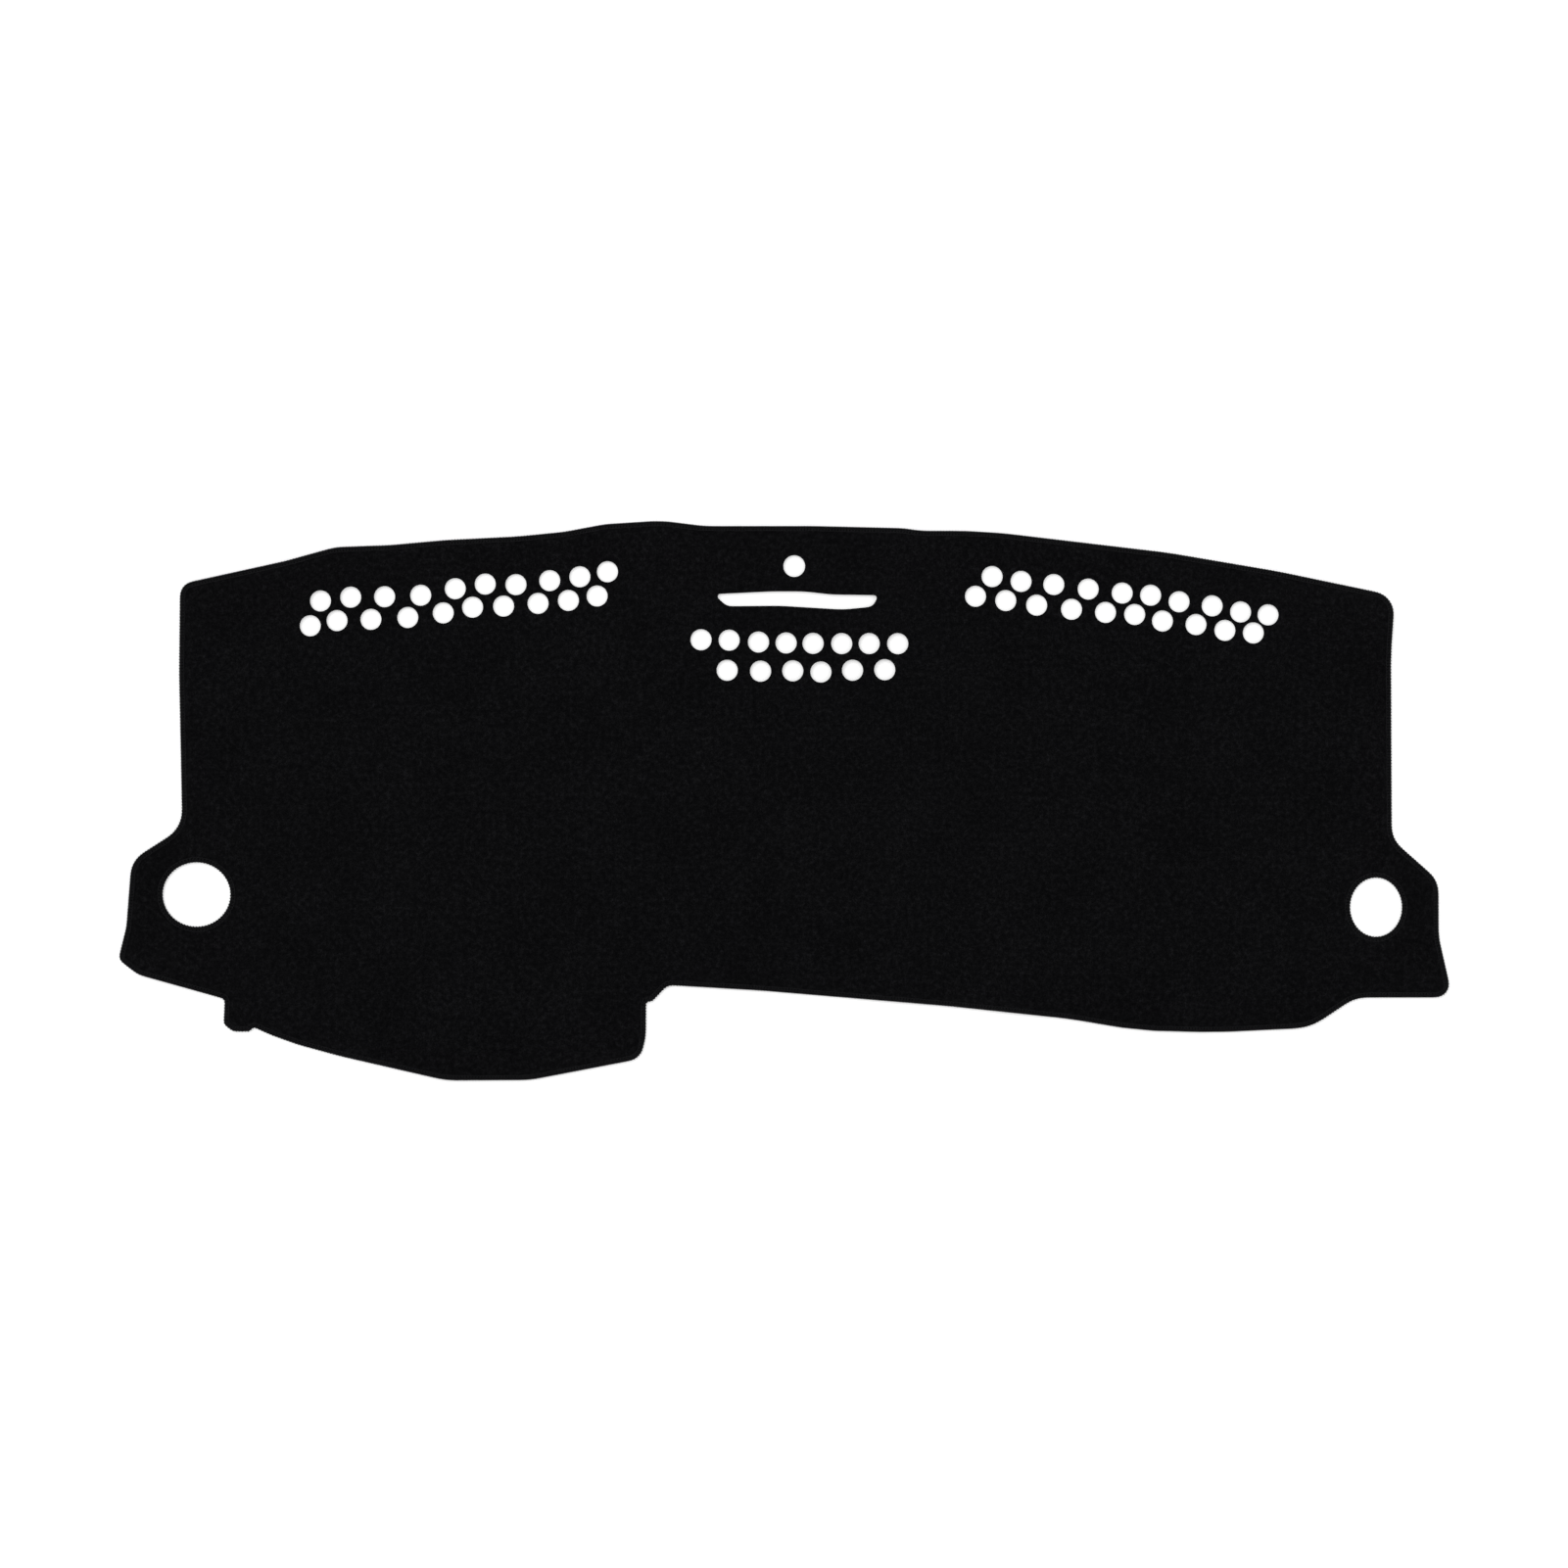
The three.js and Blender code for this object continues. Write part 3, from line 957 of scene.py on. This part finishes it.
        low, high = self.plan.loops[0].points.min(axis=0), self.plan.loops[0].points.max(axis=0)
        across = np.arange(low[0], high[0], self.grid)
        back = np.arange(low[1], high[1], self.grid * math.sqrt(3) / 2)
        grid = np.array([(x + self.grid / 2 * (row % 2), y) for row, y in enumerate(back) for x in across])
        clearance = self.seam_rows[-1] + self.grid_clearance * self.grid
        grid = grid[self.distance(self.seamed, grid) > clearance]

        points = np.vstack([*rows, grid])
        points = points[self.distance(self.cut, points) > self.edge_clearance]
        on_felt = inside(points, self.plan.loops[0].points)
        for loop in self.plan.loops[1:]:
            on_felt &= ~inside(points, loop.points)
        return points[on_felt]

    def triangles(self, borders: list[np.ndarray], filling: np.ndarray) -> tuple[np.ndarray, np.ndarray]:
        """Join the borders and the filling into triangles that leave the openings out.

        Args:
            borders: Closed borders, the outline first.
            filling: Points between them.

        Returns:
            All plane points, borders first, and the triangles' corners, counterclockwise.
        """
        points = np.vstack([*borders, filling])
        edges, first = [], 0
        for border in borders:
            count = len(border)
            edges += [(first + i, first + (i + 1) % count) for i in range(count)]
            first += count
        made = geometry.delaunay_2d_cdt([Vector(p) for p in points], edges, [], 1, 1e-7)
        if len(made[0]) != len(points):
            raise ValueError(f"the borders cross: {len(points)} points became {len(made[0])}")
        origin = [sources[0] for sources in made[3]]
        faces = np.array([[origin[i] for i in face] for face in made[2]])
        middles = points[faces].mean(axis=1)
        open_air = np.zeros(len(faces), bool)
        for border in borders[1:]:
            open_air |= inside(middles, border)
        faces = faces[~open_air]
        a, b, c = (points[faces[:, k]] for k in range(3))
        clockwise = (b - a)[:, 0] * (c - a)[:, 1] - (b - a)[:, 1] * (c - a)[:, 0] < 0
        faces[clockwise] = faces[clockwise][:, ::-1]
        return points, faces

    def build(self, felt: bpy.types.Material, backing: bpy.types.Material,
              cut_wall: bpy.types.Material) -> bpy.types.Object:
        """Make the closed felt mesh.

        Args:
            felt: Material of the upper face and the overlocked edges.
            backing: Material of the underside.
            cut_wall: Material of the walls of the die-cut openings.

        Returns:
            The felt's object.
        """
        insets = [loop.inset(self.rounding[loop.finish]) for loop in self.plan.loops]
        plane, faces = self.triangles(insets, self.filling())
        count = len(plane)
        upper, lower = self.upper(plane), self.lower(plane)
        verts = [np.column_stack([plane, upper]), np.column_stack([plane, lower])]
        polygons = [*faces.tolist(), *(faces[:, ::-1] + count).tolist()]
        marks = [0] * len(faces) + [1] * len(faces)

        total, first = 2 * count, 0
        for loop in self.plan.loops:
            size = len(loop.points)
            own = np.arange(first, first + size)
            rings = [own]
            for inset, share, fall in self.rim(self.rounding[loop.finish]):
                top, bottom = upper[own], lower[own]
                height = top - fall if share > 0 else bottom + fall
                verts.append(np.column_stack([loop.inset(inset), height]))
                rings.append(np.arange(total, total + size))
                total += size
            rings.append(own + count)
            for above, below in zip(rings, rings[1:]):
                quads = np.column_stack([above, below, np.roll(below, -1), np.roll(above, -1)])
                polygons += quads.tolist()
                marks += [0 if loop.finish is EdgeFinish.OVERLOCKED else 2] * size
            first += size

        mesh = bpy.data.meshes.new("felt_mat")
        mesh.from_pydata(np.vstack(verts).tolist(), [], polygons)
        for material in (felt, backing, cut_wall):
            mesh.materials.append(material)
        mesh.polygons.foreach_set("material_index", marks)
        mesh.polygons.foreach_set("use_smooth", [True] * len(polygons))
        mesh.update()
        return link(bpy.data.objects.new("felt_mat", mesh))

    def rim(self, radius: float) -> list[tuple[float, int, float]]:
        """The section of an edge between the two faces, from the upper one down.

        Args:
            radius: Radius of both roundings.

        Returns:
            For each ring how far in it lies, its face's sign and how far from that face it is.
        """
        turns = [math.pi / 2 * k / self.rounding_steps for k in range(1, self.rounding_steps + 1)]
        upper = [(radius * (1 - math.sin(t)), 1, radius * (1 - math.cos(t))) for t in turns]
        return upper + [(inset, -1, fall) for inset, _, fall in reversed(upper)]


@dataclass
class OverlockSeam:
    """Three-thread overlock round one edge: two looper threads that wrap it and a needle thread.

    The real threads are about 0.5 mm thick at a 2.5 mm stitch. They are drawn a little coarser, so
    that the stitches show.
    """

    name: str
    loop: EdgeLoop
    sheet: FeltSheet
    material: bpy.types.Material
    stitch: float = 3.3 * MM
    radius: float = 0.42 * MM
    looper_turn: tuple[float, ...] = (0.03, 0.07, 0.13, 0.22, 0.33, 0.43)
    needle_steps: int = 6
    inward_reach: float = 2.5 * MM
    stand: float = 0.22 * MM
    entry: float = 0.12
    entry_depth: float = 0.7
    needle_depth: float = 1.0
    needle_rise: float = 2.2
    needle_arch: float = 0.6
    unevenness: float = 0.3 * MM
    wander: tuple[float, ...] = (61 * MM, 23 * MM, 9.5 * MM)

    def build(self) -> list[bpy.types.Object]:
        """Make the seam's threads.

        Returns:
            One object for each thread.
        """
        return [
            self.thread("upper_looper", self.looper_path(Face.UPPER)),
            self.thread("lower_looper", self.looper_path(Face.LOWER)),
            self.thread("needle", self.needle_path()),
        ]

    @property
    def stitches(self) -> int:
        """Number of whole stitches right round."""
        return round(self.loop.length / self.stitch)

    @property
    def edge_radius(self) -> float:
        """Radius of the felt's rounded edge."""
        return self.sheet.rounding[EdgeFinish.OVERLOCKED]

    @property
    def flat_run(self) -> float:
        """Length of the section from the needle line to the rounded edge."""
        return self.sheet.seam_inset - self.edge_radius

    def drift(self, distances: np.ndarray) -> np.ndarray:
        """Small unevenness of a hand-guided seam, which closes up right round.

        Args:
            distances: Distances along the edge.

        Returns:
            How far the seam is off its line at each distance.
        """
        turn = 2 * math.pi * distances / self.loop.length
        counts = [round(self.loop.length / length) for length in self.wander]
        waves = sum(np.sin(count * turn + count) for count in counts)
        return self.unevenness * waves / len(counts)

    def section_place(self, run: np.ndarray, face: Face) -> tuple[np.ndarray, ...]:
        """Places on the felt's section, from the needle line over the rounded edge to its middle.

        Args:
            run: Distance along the section from the needle line.
            face: Side that the run starts on.

        Returns:
            How far in from the edge and how far from the face each place is, and the felt's outward
            direction there, across and up.
        """
        turn = np.clip((run - self.flat_run) / self.edge_radius, 0, math.pi / 2)
        inset = self.edge_radius * (1 - np.sin(turn)) + np.maximum(self.flat_run - run, 0)
        fall = self.edge_radius * (1 - np.cos(turn))
        return inset, fall, -np.sin(turn), face.value * np.cos(turn)

    def over_felt(self, distances: np.ndarray, run: np.ndarray, face: Face, stand: np.ndarray) -> np.ndarray:
        """Points over the felt's section round the edge.

        Args:
            distances: Distance along the edge of each point.
            run: Distance along the section from the needle line.
            face: Side that the section starts on.
            stand: Height over the felt.

        Returns:
            One point for each distance.
        """
        off = self.drift(distances)
        edge = self.loop.at(distances + off / 2)
        inward = self.loop.inward(distances + off / 2, self.inward_reach)
        seat = edge + inward * self.edge_radius
        inset, fall, out, up = self.section_place(run, face)
        inset = inset + off * np.clip(1 - run / self.flat_run, 0, 1)
        flat_inset = np.maximum(inset, self.edge_radius)
        if face is Face.UPPER:
            sunk = self.sheet.sink(flat_inset) - self.sheet.sink(np.array(self.edge_radius))
            height = self.sheet.upper(seat) - fall - sunk
        else:
            dropped = self.sheet.underside_pinch * (1 - self.sheet.pull(flat_inset))
            height = self.sheet.lower(seat) + fall - dropped
        normal = np.column_stack([inward * out[:, None], up])
        return np.column_stack([edge + inward * inset[:, None], height]) + normal * stand[:, None]

    def looper_path(self, face: Face) -> np.ndarray:
        """The zigzag of a looper thread between the needle line and the edge.

        Args:
            face: Side that the thread lies on.

        Returns:
            Points of the closed path.
        """
        # The path's points lie closest where the thread turns round the edge, half way along a stitch
        turn = np.array(self.looper_turn)
        places = np.concatenate([[0.0], 0.5 - turn[::-1], [0.5], 0.5 + turn])
        phase = (np.arange(self.stitches)[:, None] + places).ravel()
        reach = self.flat_run + self.edge_radius * math.pi / 2
        swing = 0.5 - 0.5 * np.cos(2 * math.pi * phase)
        # The thread goes into the felt at the needle line and stands over it from there to the edge
        out_of_felt = np.clip(swing / self.entry, 0, 1)
        stand = self.stand * ((1 + self.entry_depth) * out_of_felt - self.entry_depth)
        return self.over_felt(phase * self.loop.length / self.stitches, reach * swing, face, stand)

    def needle_path(self) -> np.ndarray:
        """The straight stitches of the needle thread along the needle line.

        Returns:
            Points of the closed path.
        """
        phase = np.arange(self.stitches * self.needle_steps) / self.needle_steps
        arch = np.abs(np.sin(math.pi * phase)) ** self.needle_arch
        distances = phase * self.loop.length / self.stitches
        stand = self.stand * (self.needle_rise * arch - self.needle_depth)
        return self.over_felt(distances, np.zeros_like(phase), Face.UPPER, stand)

    def thread(self, kind: str, points: np.ndarray) -> bpy.types.Object:
        """Draw a thread as a closed bevelled curve and convert it to a mesh.

        Args:
            kind: The thread's part in the seam.
            points: Points of the closed path.

        Returns:
            The thread's object, with a map that runs along it in millimetres and once round it.
        """
        name = f"{self.name}_{kind}_thread"
        curve = bpy.data.curves.new(name, "CURVE")
        curve.dimensions = "3D"
        curve.bevel_depth = self.radius
        curve.bevel_resolution = 1
        spline = curve.splines.new("POLY")
        spline.points.add(len(points) - 1)
        spline.points.foreach_set("co", np.column_stack([points, np.ones(len(points))]).ravel())
        spline.use_cyclic_u = True
        activate(link(bpy.data.objects.new(name, curve)))
        bpy.ops.object.convert(target="MESH")
        thread = bpy.context.object
        thread.data.materials.clear()
        thread.data.materials.append(self.material)

        layer = thread.data.uv_layers[0]
        layer.name = "thread"
        steps = np.linalg.norm(np.roll(points, -1, axis=0) - points, axis=1) / MM
        run = np.concatenate([[0.0], np.cumsum(steps)])
        lie = np.empty(2 * len(layer.uv), np.float32)
        layer.uv.foreach_get("vector", lie)
        # The curve's own map counts its points, and the twist needs the length
        lie[0::2] = np.interp(lie[0::2] * len(points), np.arange(len(run)), run)
        layer.uv.foreach_set("vector", lie)
        return thread


@dataclass
class Studio:
    """White studio: a paper floor, soft light from above and a camera that looks straight down."""

    floor_size: float = 60.0
    lens: float = 100.0
    sensor: float = 36.0
    key_from: tuple[float, float, float] = (-0.45, 0.5, 1.0)
    key_spread: float = math.radians(45)
    key_strength: float = 1.3
    fill_from: tuple[float, float, float] = (0.6, -0.45, 1.0)
    fill_spread: float = math.radians(90)
    fill_strength: float = 0.7
    ambient: float = 0.47

    def build(self, mat_top: float) -> None:
        """Make floor, light and camera.

        Args:
            mat_top: Height of the mat's upper face, at which the photograph's scale holds.
        """
        self.build_floor()
        self.build_light("key", self.key_from, self.key_spread, self.key_strength)
        self.build_light("fill", self.fill_from, self.fill_spread, self.fill_strength)
        self.build_world()
        self.build_camera(mat_top)
        bpy.context.scene.view_settings.view_transform = "Standard"

    def build_floor(self) -> None:
        """Lay the floor under the mat."""
        bpy.ops.object.select_all(action="DESELECT")
        bpy.ops.mesh.primitive_plane_add(size=self.floor_size, location=(0, 0, 0))
        floor = bpy.context.object
        floor.name = "floor"
        floor.data.materials.append(StudioFloor().build())

    def build_light(self, name: str, toward: tuple[float, float, float], spread: float,
                    strength: float) -> None:
        """Hang a soft distant light, which is even over the whole floor.

        Args:
            name: Name of the light.
            toward: Direction from the mat to the light.
            spread: Angle that the light's disc fills, which softens the shadows.
            strength: Strength in watts on each square metre that faces it.
        """
        lamp = bpy.data.lights.new(name, "SUN")
        lamp.angle = spread
        lamp.energy = strength
        light = link(bpy.data.objects.new(name, lamp))
        light.location = toward
        light.rotation_mode = "QUATERNION"
        light.rotation_quaternion = Vector(toward).to_track_quat("Z", "Y")

    def build_world(self) -> None:
        """Fill the room with even light, and show white to what looks straight at it."""
        world = bpy.data.worlds.new("studio")
        world.use_nodes = True
        tree = world.node_tree
        tree.nodes.clear()
        rays = add_node(tree, "ShaderNodeLightPath")
        mirrored = add_node(tree, "ShaderNodeMath", {
            0: rays.outputs["Is Glossy Ray"],
            1: rays.outputs["Is Transmission Ray"],
        }, operation="MAXIMUM")
        seen = add_node(tree, "ShaderNodeMath", {
            0: rays.outputs["Is Camera Ray"],
            1: mirrored.outputs[0],
        }, operation="MAXIMUM")
        strength = add_node(tree, "ShaderNodeMapRange", {"Value": seen.outputs[0], "To Min": self.ambient})
        background = add_node(tree, "ShaderNodeBackground", {"Strength": strength.outputs[0]})
        background.inputs["Color"].default_value = linear("#FFFFFF")
        add_node(tree, "ShaderNodeOutputWorld", {"Surface": background.outputs[0]})
        bpy.context.scene.world = world

    def build_camera(self, mat_top: float) -> None:
        """Hang the camera where the photograph was taken from.

        Args:
            mat_top: Height of the mat's upper face.
        """
        optics = bpy.data.cameras.new("camera")
        optics.lens = self.lens
        optics.sensor_width = self.sensor
        frame_width = PHOTO_PIXELS * PHOTO_SCALE
        middle = (PHOTO_PIXELS - 1) / 2
        camera = link(bpy.data.objects.new("camera", optics))
        camera.location = (
            (middle - PHOTO_MAT_CENTRE[0]) * PHOTO_SCALE,
            (PHOTO_MAT_CENTRE[1] - middle) * PHOTO_SCALE,
            mat_top + frame_width * self.lens / self.sensor,
        )
        bpy.context.scene.camera = camera


def main() -> None:
    """Dress the mat, build the studio round it and report each piece."""
    logging.basicConfig(level=logging.INFO, format="%(name)s: %(message)s")
    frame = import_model()
    low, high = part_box(MAT_NODE)
    thickness = high.z - low.z
    Studio().build(high.z)

    plan = MatPlan(frame["nodes"][MAT_NODE], thickness)
    plan.read()
    sheet = FeltSheet(plan, thickness)
    mat = sheet.build(NeedleFelt().build(), GripBacking().build(), CutFelt().build())
    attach(mat, BODY)
    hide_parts(MAT_NODE)
    LOG.info("%s: %d edges, %d faces", mat.name, len(plan.loops), len(mat.data.polygons))

    polyester = BulkedThread().build()
    for name, loop in zip(SEAM_NAMES, plan.seamed, strict=True):
        for thread in OverlockSeam(name, loop, sheet, polyester).build():
            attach(thread, BODY)
            LOG.info("%s: %d faces", thread.name, len(thread.data.polygons))

    plan.flat_area


if __name__ == "__main__":
    main()
